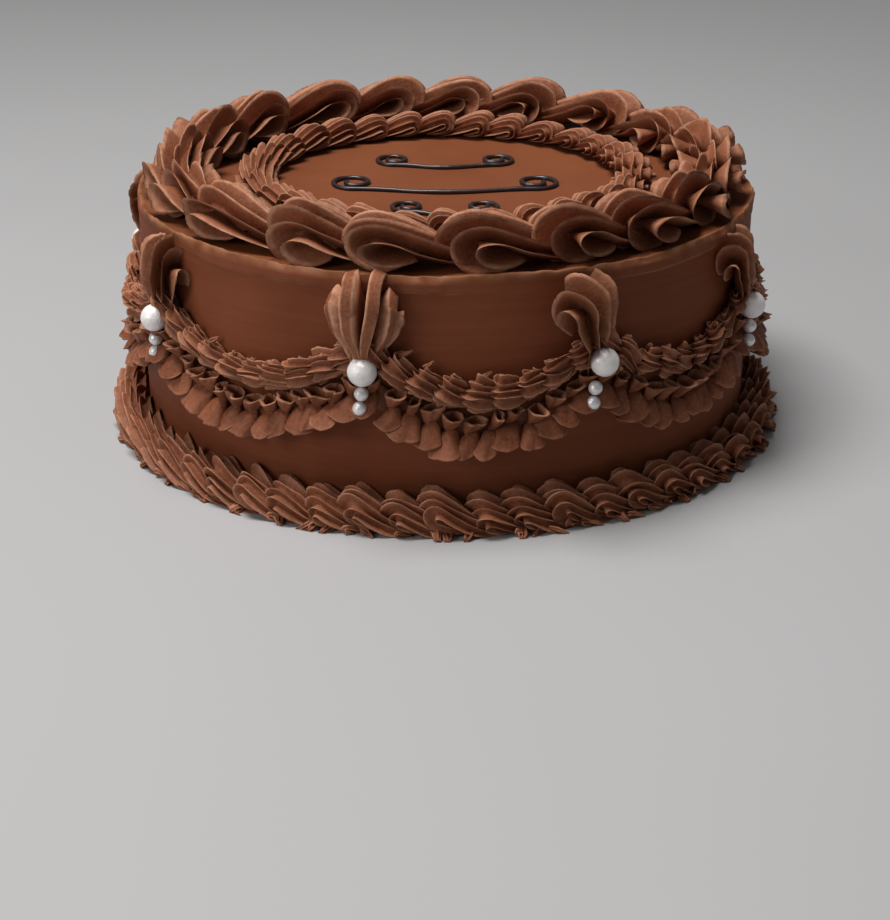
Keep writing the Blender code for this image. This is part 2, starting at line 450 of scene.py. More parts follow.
@dataclass(frozen=True)
class PipedCream(Cream):
    """Whipped chocolate buttercream, matt and finely pored, with painted shade in its pits and thin edges
    paler: partly a drier crust, partly painted highlight.
    """

    # Painted shade at the bottom of the pores.
    pit_shade: Colour = (0.050, 0.015, 0.007)

    def mixed(self) -> bpy.types.Material:
        """Make the material.

        Returns:
            The material.
        """
        recipe = Recipe(self.name)
        where = recipe.place()
        cloud = recipe.noise(where, 60, 3)
        grain = recipe.noise(where, 900, 3)
        tone = recipe.ramp(cloud * 0.55 + grain * 0.45, 0.38, 0.62)
        pits = recipe.ramp(recipe.noise(where, 1150, 1), 0.74, 0.80)
        # The pits are darkened with that painted shade.
        colour = recipe.blend(pits * 0.6, recipe.blend(tone, self.deep, self.light), self.pit_shade)
        # Where the edges pale, in blotches: partly drier crust, partly painted highlight.
        dry_and_highlit = recipe.mark("edge") * recipe.ramp(recipe.noise(where, 260, 2), 0.15, 0.60)
        recipe.set(Normal=recipe.bump(grain * 0.8 + cloud * 0.8 - pits * 0.9, self.relief, 0.7))
        return self.coat(recipe, colour, dry_and_highlit, grain)


@dataclass(frozen=True)
class ScrapedCream(Cream):
    """The scraped coat: the same cream drawn smooth, with faint level streaks and pin holes, and its level
    top painted a shade yellower as reflected light.

    Attributes:
        lit_top_deep: The darkest colour of the coat's level top, tinted yellower as painted reflected
            light.
        lit_top_light: The lightest colour there.
        top: Height above which the coat is its top.
        blur: How far up the one colour passes into the other.
        streaks: Waves for each metre round the cake and up it, for streaks drawn level.
    """

    lit_top_deep: Colour = (0.138, 0.0460, 0.0178)
    lit_top_light: Colour = (0.184, 0.0635, 0.0250)
    top: float = 0.0792
    blur: float = 0.0006
    streaks: tuple[float, float, float] = (12.0, 12.0, 420.0)

    def mixed(self) -> bpy.types.Material:
        """Make the material.

        Returns:
            The material.
        """
        recipe = Recipe(self.name)
        where = recipe.place()
        drawn = recipe.node("ShaderNodeMapping", {}, {"Vector": where, "Scale": self.streaks})
        streak = recipe.noise(drawn, 1.0, 4)
        cloud = recipe.noise(where, 22, 3)
        grain = recipe.noise(where, 800, 3)
        holes = recipe.ramp(recipe.noise(where, 700, 1), 0.80, 0.74)
        tone = recipe.ramp(streak * 0.35 + cloud * 0.65, 0.36, 0.64)
        level = recipe.node("ShaderNodeSeparateXYZ", {}, {"Vector": where}, "Z")
        # Painted reflected light: the level top takes a yellower colour than the side.
        colour = recipe.blend(
            recipe.ramp(level, self.top, self.top + self.blur),
            recipe.blend(tone, self.deep, self.light),
            recipe.blend(tone, self.lit_top_deep, self.lit_top_light),
        )
        # On the scraped coat this is the painted highlight along the lip and ledge, blotched by noise.
        dry_and_highlit = recipe.mark("edge") * recipe.ramp(recipe.noise(where, 180, 3), 0.30, 0.55)
        height = streak * 0.5 + cloud * 0.8 + grain * 0.12 + holes * 0.5
        recipe.set(Normal=recipe.bump(height, self.relief, 0.35))
        return self.coat(recipe, colour, dry_and_highlit, cloud)


@dataclass(frozen=True)
class SugarPearl(Finish):
    """A sugar ball with a pearly, finely dimpled coat."""

    dull: Colour
    bright: Colour
    metal: float

    def mixed(self) -> bpy.types.Material:
        """Make the material.

        Returns:
            The material.
        """
        recipe = Recipe(self.name)
        where = recipe.place()
        sockets = {"Vector": where, "Scale": 1500.0}
        dimples = recipe.node("ShaderNodeTexVoronoi", {"feature": "SMOOTH_F1"}, sockets)
        cloud = recipe.noise(where, 500, 2)
        recipe.set(
            Base_Color=recipe.blend(cloud, self.dull, self.bright),
            Roughness=0.28 + cloud * 0.2,
            Normal=recipe.bump(dimples + cloud, 0.00016, 0.8),
            Metallic=self.metal,
            Coat_Weight=0.35,
            Sheen_Weight=0.2,
        )
        return recipe.material


@dataclass(frozen=True)
class DarkChocolate(Finish):
    """Dark chocolate piped from a paper cone, a little glossy."""

    deep: Colour = (0.010, 0.006, 0.008)
    light: Colour = (0.028, 0.016, 0.018)

    def mixed(self) -> bpy.types.Material:
        """Make the material.

        Returns:
            The material.
        """
        recipe = Recipe(self.name)
        cloud = recipe.noise(recipe.place(), 300, 2)
        recipe.set(
            Base_Color=recipe.blend(cloud, self.deep, self.light),
            Roughness=0.25 + cloud * 0.2,
            Normal=recipe.bump(cloud, 0.0002, 0.3),
        )
        return recipe.material


@dataclass(frozen=True)
class PaleFloor(Finish):
    """A plain pale studio floor."""

    deep: Colour = (0.37, 0.375, 0.385)
    light: Colour = (0.40, 0.405, 0.415)

    def mixed(self) -> bpy.types.Material:
        """Make the material.

        Returns:
            The material.
        """
        recipe = Recipe(self.name)
        cloud = recipe.noise(recipe.place(), 3, 2)
        recipe.set(Base_Color=recipe.blend(cloud, self.deep, self.light), Roughness=0.5)
        return recipe.material


PIPED = PipedCream(
    "piped_cream_surface",
    "piped_buttercream",
    deep=(0.160, 0.052, 0.024),
    light=(0.262, 0.094, 0.048),
    # Paler edge colour: partly drier crust, partly painted highlight on thin blades.
    dried_and_highlit=(0.520, 0.265, 0.165),
    highlight_and_dry_strength=0.8,
    roughness=0.50,
    mirror=0.13,
    relief=0.0004,
)
SMOOTHED = ScrapedCream(
    "smoothed_cream_surface",
    "smoothed_buttercream",
    deep=(0.146, 0.040, 0.0165),
    light=(0.195, 0.058, 0.026),
    # Colour of the painted highlight on the lip and ledge.
    dried_and_highlit=(0.42, 0.205, 0.118),
    highlight_and_dry_strength=0.55,
    roughness=0.62,
    mirror=0.08,
    relief=0.0003,
)
PEARLY = SugarPearl("pearl_surface", "sugar_pearl", (0.74, 0.70, 0.70), (0.92, 0.90, 0.88), 0.10)
SILVERY = SugarPearl(
    "silvery_pearl_surface", "sugar_pearl", (0.66, 0.64, 0.65), (0.90, 0.89, 0.90), 0.40
)
INKY = DarkChocolate("chocolate_line_surface", "dark_chocolate")
PALE = PaleFloor("pale_floor", "")


@dataclass(frozen=True)
class StarTip:
    """A star nozzle: where its fins stand across a shell, in degrees, and how deep it grooves.

    Attributes:
        fins: Places of the fins, from the outer side of the shell to the inner.
        tall: Height of each fin, as a share of the shell's own.
        grooves: Share of the section that each groove takes, from before the first fin to after the last.
        blade: Below 1 for thin blades, 1 and over for rounded ridges.
        flanks: Places of the points on each flank, from the fin's edge (0) to the groove (1).
        flat: Share of each flank that is the fin's level edge: little on a blade, much on a ribbon.
        ribbon: How flat a fin has to be to count as a ribbon.
        border: Width of the pale border of a ribbon, partly drier crust and partly painted highlight, and
            how strongly it shows.
    """

    fins: tuple[float, ...]
    tall: tuple[float, ...]
    grooves: tuple[float, ...]
    blade: float
    flanks: tuple[float, ...] = (0.05, 0.12, 0.26, 0.46, 0.70)
    flat: float = 0.03
    ribbon: float = 0.10
    border: tuple[float, float] = (0.10, 1.6)

    @classmethod
    def even(cls, count: int, groove: float, blade: float, flanks: tuple[float, ...]) -> StarTip:
        """A tip with fins at one spacing.

        Args:
            count: How many fins it has.
            groove: Share of the section that each groove takes.
            blade: As for any tip.
            flanks: As for any tip.

        Returns:
            The tip.
        """
        step = 180 / count
        fins = tuple(step * (i + 0.5) - 90 for i in range(count))
        return cls(fins, (1.0,) * count, (groove,) * (count + 1), blade, flanks)

    def section(self) -> tuple[Array, Array, Array, Array, Array]:
        """Points of a half section.

        Returns:
            Angle of each point, depth in the groove from 0 to 1, the fin that it belongs to,
            that fin's height, and the groove's share of the section.
        """
        fins = np.array(self.fins)
        bounds = np.concatenate(((-90.0,), (fins[1:] + fins[:-1]) / 2, (90.0,)))
        angles, shares, owners, grooves = [-90.0], [1.0], [0], [self.grooves[0]]
        for i, fin in enumerate(fins):
            for share in (*(-s for s in reversed(self.flanks)), 0.0, *self.flanks, 1.0):
                side = bounds[i + 1] if share > 0 else bounds[i]
                angles.append(fin + abs(share) * (side - fin))
                shares.append(abs(share))
                owners.append(i)
                grooves.append(self.grooves[i + 1] if share > 0 else self.grooves[i])
        share = np.clip((np.array(shares) - self.flat) / (1 - self.flat), 0, 1)
        depth = np.sin(0.5 * math.pi * share) ** self.blade
        owner = np.array(owners)
        return np.array(angles), depth, owner, np.array(self.tall)[owner], np.array(grooves)

    def highlight_and_dry_strength(self) -> Array:
        """How strongly a fin's edge is paled, as drier crust and painted highlight: all of a blade, the
        borders of a ribbon.

        Returns:
            One value for the whole half section, or one for each of its points.
        """
        if self.flat < self.ribbon:
            return np.ones(1)
        width, strength = self.border
        fin = (*reversed(self.flanks), 0.0, *self.flanks, 1.0)
        return strength * bell(np.array((1.0, *fin * len(self.fins))), self.flat, width)


@dataclass(frozen=True)
class Key:
    """One key section of a shell, on the line that its sections hinge on.

    Attributes:
        at: Place in the stroke, from 0 to 1.
        along: Place of the hinge along the shell, as a share of its length.
        lift: Height of the hinge, as a share of the shell's height.
        turn: Where the section points: 0 to the tail, 90 up, 180 ahead, 270 down.
        reach: Size of the section, as a share of the shell's height.
        spread: Half width of the section, as a share of the shell's own.
    """

    at: float
    along: float
    lift: float
    turn: float
    reach: float
    spread: float


RUFFLE_STROKE = (
    Key(0.00, 0.26, 0.30, 316, 0.20, 0.72),
    Key(0.10, 0.13, 0.38, 280, 0.44, 0.98),
    Key(0.26, 0.02, 0.43, 214, 0.57, 1.06),
    Key(0.44, 0.00, 0.43, 138, 0.60, 1.06),
    Key(0.58, 0.11, 0.34, 100, 0.66, 1.00),
    Key(0.74, 0.38, 0.12, 88, 0.66, 0.88),
    Key(0.88, 0.70, 0.00, 84, 0.46, 0.64),
    Key(1.00, 1.00, 0.00, 80, 0.16, 0.34),
)
SHELL_STROKE = (
    Key(0.00, 0.42, 0.16, 282, 0.10, 0.55),
    Key(0.12, 0.22, 0.30, 268, 0.26, 0.82),
    Key(0.26, 0.06, 0.42, 232, 0.42, 0.96),
    Key(0.42, 0.00, 0.44, 170, 0.54, 1.00),
    Key(0.58, 0.04, 0.42, 112, 0.58, 1.00),
    Key(0.76, 0.34, 0.24, 92, 0.58, 0.88),
    Key(1.00, 1.00, 0.00, 80, 0.20, 0.40),
)
FALLING_STROKE = (
    Key(0.00, 0.40, 0.14, 286, 0.10, 0.55),
    Key(0.12, 0.20, 0.30, 268, 0.28, 0.82),
    Key(0.25, 0.05, 0.43, 232, 0.44, 0.96),
    Key(0.38, 0.00, 0.47, 172, 0.54, 1.00),
    Key(0.52, 0.04, 0.44, 118, 0.56, 1.00),
    Key(0.68, 0.28, 0.22, 98, 0.52, 0.94),
    Key(0.84, 0.60, 0.04, 90, 0.38, 0.74),
    Key(1.00, 1.00, 0.00, 80, 0.12, 0.34),
)
PLUME_STROKE = (
    Key(0.00, 0.08, 0.14, 246, 0.86, 0.85),
    Key(0.14, 0.00, 0.16, 222, 1.34, 0.98),
    Key(0.28, -0.02, 0.18, 194, 1.66, 1.00),
    Key(0.42, -0.02, 0.20, 163, 1.60, 1.00),
    Key(0.56, 0.00, 0.20, 128, 1.08, 1.00),
    Key(0.70, 0.14, 0.14, 97, 0.94, 0.80),
    Key(0.82, 0.32, 0.08, 88, 0.78, 0.50),
    Key(0.92, 0.55, 0.00, 86, 0.56, 0.36),
    Key(1.00, 1.00, 0.00, 84, 0.18, 0.18),
)
CURL_STROKE = (
    Key(0.00, 0.14, 0.10, 262, 0.34, 0.70),
    Key(0.12, 0.02, 0.15, 232, 0.86, 0.96),
    Key(0.28, -0.06, 0.18, 194, 1.16, 1.04),
    Key(0.42, -0.04, 0.20, 163, 1.16, 1.00),
    Key(0.56, 0.00, 0.20, 128, 1.06, 1.00),
    Key(0.70, 0.16, 0.14, 98, 0.74, 0.80),
    Key(0.82, 0.34, 0.06, 90, 0.46, 0.50),
    Key(0.92, 0.56, 0.00, 88, 0.26, 0.34),
    Key(1.00, 0.80, 0.00, 86, 0.10, 0.18),
)


def stroke_track(keys: tuple[Key, ...], count: int) -> Array:
    """Sections along a stroke, smoothly between its key sections.

    Args:
        keys: The key sections.
        count: How many sections are wanted.

    Returns:
        Rows of along, lift, turn, reach and spread.
    """
    at = np.array([key.at for key in keys])
    table = np.array([(key.along, key.lift, key.turn, key.reach, key.spread) for key in keys])
    slope = np.gradient(table, at, axis=0)
    place = np.linspace(0, 1, count)
    left = np.clip(np.searchsorted(at, place, side="right") - 1, 0, len(at) - 2)
    gap = (at[left + 1] - at[left])[:, None]
    t = ((place - at[left]) / gap[:, 0])[:, None]
    return (
        (2 * t**3 - 3 * t**2 + 1) * table[left]
        + (t**3 - 2 * t**2 + t) * gap * slope[left]
        + (3 * t**2 - 2 * t**3) * table[left + 1]
        + (t**3 - t**2) * gap * slope[left + 1]
    )


@dataclass(frozen=True)
class Piping:
    """How one kind of shell is piped.

    Attributes:
        tip: The nozzle.
        keys: The stroke's key sections.
        sections: Sections in a shell's loft.
        opening: Share of their depth that the grooves have where a stroke starts.
        opens: Places in the stroke between which the grooves get their full depth.
        trail: How far the outer fins lag behind the crest, as a share of the shell's height.
        wander: Degrees that a fin strays across the shell.
        uneven: Share by which fins and grooves vary in size.
        ragged: Depth of the nicks in a blade's edge.
        lean: Share of its height by which a fin leans over.
    """

    tip: StarTip
    keys: tuple[Key, ...]
    sections: int
    opening: float = 1.0
    opens: tuple[float, float] = (0.0, 0.55)
    trail: float = 0.0
    wander: float = 5.0
    uneven: float = 0.08
    ragged: float = 0.00018
    lean: float = 0.10

    def shell(
        self, draw: np.random.Generator, length: float, height: float, half_width: float
    ) -> Shape:
        """One shell on flat ground, its head at the start and its tail towards +along.

        Args:
            draw: Seeded random numbers.
            length: From the head's hinge to the tip of the tail.
            height: Height of the head.
            half_width: Half the head's width.

        Returns:
            Places along, across and up, and nearness to a blade's edge, each (sections, points).
        """
        track = stroke_track(self.keys, self.sections)
        angle, depth, owner, tall, groove = self.tip.section()
        stroke = np.linspace(0, 1, self.sections)[:, None]
        fin = owner[None, :] * 0.37
        inner = np.cos(np.radians(angle))[None, :]
        start = np.clip((stroke - self.opens[0]) / (self.opens[1] - self.opens[0]), 0, 1)
        groove = groove * (self.opening + (1 - self.opening) * start * start * (3 - 2 * start))
        size = tall * (1 + self.uneven * drift(draw, 0.8, stroke, fin)) * (
            1 - groove * depth * (1 + self.uneven * drift(draw, 1.3, stroke, fin + 0.2))
        )
        size = size - self.ragged / height * (1 - depth) ** 4 * np.clip(drift(draw, 9.0, stroke, fin), 0, 1)
        stray = self.wander * inner * drift(draw, 0.7, stroke, fin)
        bent = np.radians(angle + stray)
        out = track[:, 3:4] * height * size * np.cos(bent)
        across = track[:, 4:5] * half_width * size * np.sin(bent)
        across = across + self.lean * half_width * (1 - depth) * inner * drift(draw, 0.9, stroke, fin)
        turn = np.radians(track[:, 2:3])
        lag = self.trail * height * (1 - inner) * np.clip(2.5 * (1 - stroke), 0, 1)
        along = track[:, 0:1] * length + out * np.cos(turn) + lag
        up = track[:, 1:2] * height + out * np.sin(turn)
        # The pale edge weight: partly drier crust, partly painted highlight along the blades' edges.
        return along, across, up, (1 - depth) ** 5 * self.tip.highlight_and_dry_strength() * np.ones_like(up)


TORN = Piping(
    StarTip.even(3, 0.60, 0.70, (0.35,)),
    SHELL_STROKE,
    10,
    wander=16,
    uneven=0.30,
    ragged=0.0004,
    lean=0.30,
)


def scrap(draw: np.random.Generator, size: float) -> Shape:
    """A small torn curl of cream, turned at random.

    Args:
        draw: Seeded random numbers.
        size: Its usual length.

    Returns:
        The same as for a shell.
    """
    along, across, up, edge = TORN.shell(
        draw,
        size * draw.uniform(0.8, 1.3),
        size * draw.uniform(0.45, 0.80),
        size * draw.uniform(0.28, 0.45),
    )
    along, across = turned(along, across, draw.uniform(-2.4, 0.7))
    return along, across, up, edge


def turned(along: Array, across: Array, yaw: float) -> tuple[Array, Array]:
    """Turn a shell on the ground, by radians from along to across."""
    right = along * math.cos(yaw) - across * math.sin(yaw)
    return right, along * math.sin(yaw) + across * math.cos(yaw)


def tilted(across: Array, up: Array, roll: float, pivot: float) -> tuple[Array, Array]:
    """Roll a shell about the line that it is piped along.

    Args:
        across: Places across the shell.
        up: Places up from what it is piped on.
        roll: Degrees, positive to turn the top towards +across.
        pivot: Height of the line.

    Returns:
        The new places across and up.
    """
    turn = math.radians(roll)
    high = up - pivot
    new_up = pivot - across * math.sin(turn) + high * math.cos(turn)
    return across * math.cos(turn) + high * math.sin(turn), new_up


RUFFLED = Piping(
    StarTip(
        (-70, -44, -14, 15, 46, 70),
        (1.32, 1.16, 1.03, 1.02, 1.06, 1.16),
        (0.82, 0.82, 0.72, 0.46, 0.66, 0.76, 0.80),
        0.45,
    ),
    RUFFLE_STROKE,
    52,
    trail=0.42,
    wander=4,
    uneven=0.07,
    ragged=0.0002,
)


@dataclass
class RuffleBorder:
    """The large ruffled shells round the top edge, with their heads at uneven angles."""

    heads: tuple[float, ...] = (
        5, 23, 39, 58, 73, 88, 101, 116, 136, 157, 174, 191, 207, 228, 244, 260, 276, 291, 307, 331, 346,
    )
    radius: float = 0.0893
    height: float = 0.0170
    half_width: float = 0.0110
    overlap: float = 0.0050
    seed: int = 21

    def build(self, floor: float) -> bpy.types.Object:
        """Pipe the border.

        Args:
            floor: Height of the cake's top.

        Returns:
            The border.
        """
        draw = np.random.default_rng(self.seed)
        skin = Skin()
        for i, angle in enumerate(self.heads):
            step = math.radians((self.heads[(i + 1) % len(self.heads)] - angle) % 360) * self.radius
            height = self.height * draw.uniform(0.93, 1.04)
            torn = abs(math.sin(math.radians(angle))) ** 6
            piping = replace(
                RUFFLED,
                wander=RUFFLED.wander + 4 * torn,
                uneven=RUFFLED.uneven + 0.05 * torn,
                ragged=RUFFLED.ragged + 0.0003 * torn,
            )
            along, across, up, edge = piping.shell(
                draw, step + self.overlap, height, self.half_width * draw.uniform(0.94, 1.04)
            )
            roll = draw.uniform(-13, 3) + 12 * torn
            across, up = tilted(across * (1 - 0.12 * torn), up, roll, 0.35 * height)
            radius = self.radius - across
            turn = angle + np.degrees(along / self.radius)
            skin.loft(on_cake(turn, radius, floor + np.maximum(up, -0.0003)), edge)
        return skin.build("top_ruffles", PIPED, "top_ruffle_border")


@dataclass
class ShellBorder:
    """A border of small star-tip shells on a circle.

    Attributes:
        node: The CAD node that it replaces.
        floor: Height of what the shells stand on.
        overlap: How far a shell's tail runs under the next head.
        wall: Least distance from the axis.
        roll: Degrees by which the shells lean in.
        skew: How far outwards a shell drifts on its way, as a share of it.
        scraps: Scraps of cream beside each shell.
        scrap_band: Distances outside the radius between which they lie.
        reach: Greatest distance of a scrap from the axis.
    """

    name: str
    node: str
    piping: Piping
    count: int
    radius: float
    floor: float
    height: float
    half_width: float
    overlap: float
    seed: int
    wall: float = 0.0
    roll: float = 0.0
    skew: float = 0.0
    scraps: int = 0
    scrap_size: float = 0.0046
    scrap_band: tuple[float, float] = (0.0044, 0.0060)
    reach: float = 0.1172

    def build(self) -> bpy.types.Object:
        """Pipe the border.

        Returns:
            The border.
        """
        draw = np.random.default_rng(self.seed)
        skin = Skin()
        step = 2 * math.pi * self.radius / self.count
        for i in range(self.count):
            height = self.height * draw.uniform(0.90, 1.05)
            length = step * draw.uniform(0.95, 1.1) + self.overlap
            half_width = self.half_width * draw.uniform(0.93, 1.04)
            along, across, up, edge = self.piping.shell(draw, length, height, half_width)
            across, up = tilted(across, up, self.roll + draw.uniform(-9, 9), 0.4 * height)
            radius = np.maximum(self.radius - across + self.skew * along, self.wall)
            self._place(skin, i + draw.uniform(-0.08, 0.08), (along, radius, up, edge))
            for _ in range(self.scraps):
                along, across, up, edge = scrap(draw, self.scrap_size)
                share = i + draw.random()
                radius = np.minimum(self.radius + draw.uniform(*self.scrap_band) - across, self.reach)
                self._place(skin, share, (along, radius, up, edge))
        return skin.build(self.name, PIPED, self.node)

    def _place(self, skin: Skin, share: float, shape: Shape) -> None:
        """Skin a shell on the circle.

        Args:
            skin: Takes the shell.
            share: Its place, counted in shells from the front.
            shape: Places along, from the axis and up, and nearness to a blade's edge.
        """
        along, radius, up, edge = shape
        turn = 360 * share / self.count + np.degrees(along / self.radius)
        skin.loft(on_cake(turn, radius, self.floor + np.maximum(up, 0)), edge)


LEAFED = Piping(
    StarTip(
        (-72, -46, -14, 16, 47, 73),
        (1.16, 1.10, 1.0, 1.0, 1.10, 1.16),
        (0.80, 0.76, 0.66, 0.50, 0.66, 0.76, 0.80),
        0.50,
    ),
    PLUME_STROKE,
    52,
    wander=4,
    uneven=0.07,
    ragged=0.0003,
)
CURLING = replace(LEAFED, keys=CURL_STROKE)
FOLDED = replace(
    LEAFED,
    tip=StarTip(
        (-84, -53, -17, 16, 51, 83),
        (0.84, 0.93, 1.0, 1.02, 0.93, 0.88),
        (0.70, 0.84, 0.90, 0.92, 0.90, 0.84, 0.70),
        0.55,
        (0.28, 0.50, 0.58, 0.68, 0.84),
        0.50,
    ),
    opening=0.70,
    opens=(0.20, 0.52),
)


@dataclass(frozen=True)
class PlumeTurn:
    """How the nozzle was held for a plume.

    Attributes:
        roll: Degrees by which its crest leans to the right.
        shift: Degrees round the cake from the plume's pearl to its head.
        width: Its width, as a share of the usual.
        depth: How far it stands out, as a share of the usual.
        piping: How it is piped.
    """

    roll: float
    shift: float
    width: float
    depth: float
    piping: Piping


class PlumeStyle(Enum):
    """The ways in which the plumes were piped."""

    FAN = PlumeTurn(0, 0, 1.0, 0.96, FOLDED)
    CURLED = PlumeTurn(46, -2.2, 1.02, 1.18, CURLING)
    TUCKED = PlumeTurn(26, -3.0, 0.98, 0.80, LEAFED)
    UPRIGHT = PlumeTurn(-4, 0, 0.95, 0.84, LEAFED)
    LEANING = PlumeTurn(-24, 1.0, 0.90, 0.84, LEAFED)


@dataclass
class Plume:
    """A ruffle piped down the side, from the height of its head's hinge to that of its tail."""

    index: int
    angle: float
    style: PlumeStyle
    wall: float
    hinge: float = 0.0662
    tail: float = 0.0380
    half_width: float = 0.0135
    depth: float = 0.0096

    def build(self) -> bpy.types.Object:
        """Pipe the plume.

        Returns:
            The plume.
        """
        held = self.style.value
        length = self.hinge - self.tail
        draw = np.random.default_rng(100 + self.index)
        half_width = self.half_width * held.width * draw.uniform(0.97, 1.03)
        along, across, up, edge = held.piping.shell(draw, length, self.depth * held.depth, half_width)
        across, up = tilted(across, up, held.roll + draw.uniform(-3, 3), 0.3 * self.depth)
        head = np.clip(1 - along / (0.35 * length), 0, 1)
        turn = self.angle + held.shift * head + np.degrees(across / self.wall)
        skin = Skin()
        skin.loft(on_cake(turn, self.wall + np.maximum(up, -0.0004), self.hinge - along), edge)
        return skin.build(f"plume_piping_{self.index}", PIPED, f"plume_{self.index}")


@dataclass
class Swag:
    """The path between two plumes, high at both ends, along which a garland and a frill hang."""

    index: int
    start: float
    end: float
    wall: float
    high: float = 0.0575
    low: float = 0.0436

    def middle(self, share: Array | float) -> Array | float:
        """Height of the garland's middle line at a share of the way."""
        return self.low + (self.high - self.low) * (2 * share - 1) ** 2

    def turn(self, share: Array | float, right: Array | float = 0.0) -> Array | float:
        """Angle at a share of the way and a distance to the right of it."""
        return self.start + (self.end - self.start) * share + np.degrees(right / self.wall)

    def length(self) -> float:
        """Length of the path round the side."""
        return math.radians(self.end - self.start) * self.wall

    def slope(self, share: float) -> float:
        """Slope of the middle line, as height for each unit of length."""
        return 4 * (self.high - self.low) * (2 * share - 1) / self.length()


KNOBBED = Piping(
    StarTip.even(6, 0.50, 0.75, (0.10, 0.44)),
    SHELL_STROKE,
    26,
    opening=0.7,
    wander=7,
    uneven=0.18,
    ragged=0.0005,
    lean=0.20,
)


@dataclass
class Garland:
    """The chain of small overlapping shells along a swag.

    Attributes:
        pitch: Distance between the shells' heads.
        slant: Degrees by which the shells point up from the path.
        lift: Height of their middle above the path.
        scrap_out: How far from the iced side the scraps lie.
    """

    swag: Swag
    pitch: float = 0.0080
    height: float = 0.0078
    half_width: float = 0.0052
    slant: float = -9.0
    lift: float = 0.0012
    scrap_size: float = 0.0034
    scrap_out: float = 0.0016

    def build(self) -> bpy.types.Object:
        """Pipe the garland.

        Returns:
            The garland.
        """
        swag = self.swag
        draw = np.random.default_rng(300 + swag.index)
        skin = Skin()
        count = round(swag.length() / self.pitch)
        for i in range(count):
            share = (i + 0.15 + draw.uniform(-0.1, 0.1)) / count
            along, across, up, edge = KNOBBED.shell(
                draw,
                self.pitch * draw.uniform(1.35, 1.65),
                self.height * draw.uniform(0.82, 1.05),
                self.half_width * draw.uniform(0.88, 1.08),
            )
            across, up = tilted(across, up, draw.uniform(-12, 16), 0.3 * self.height)
            yaw = math.atan(swag.slope(share)) + math.radians(self.slant + draw.uniform(-7, 7))
            right, rise = turned(along, across, yaw)
            high = swag.middle(share) + (rise + self.lift)
            skin.loft(on_cake(swag.turn(share, right), swag.wall + np.maximum(up, -0.0003), high), edge)
            along, across, up, edge = scrap(draw, self.scrap_size)
            right = along + 0.0015
            high = swag.middle(share) + self.lift + 0.75 * self.half_width + across
            out = np.maximum(up + self.scrap_out, 0)
            skin.loft(on_cake(swag.turn(share, right), swag.wall + out, high), edge)
        return skin.build(f"garland_{swag.index}", PIPED, f"swag_{swag.index}")


SKIRT_LEVELS = np.array((0, 0.05, 0.15, 0.35, 0.60, 0.80, 0.92, 0.98))
CUP_LEVELS = np.array((0.02, 0.10, 0.22, 0.45, 0.70, 0.90, 1.0))


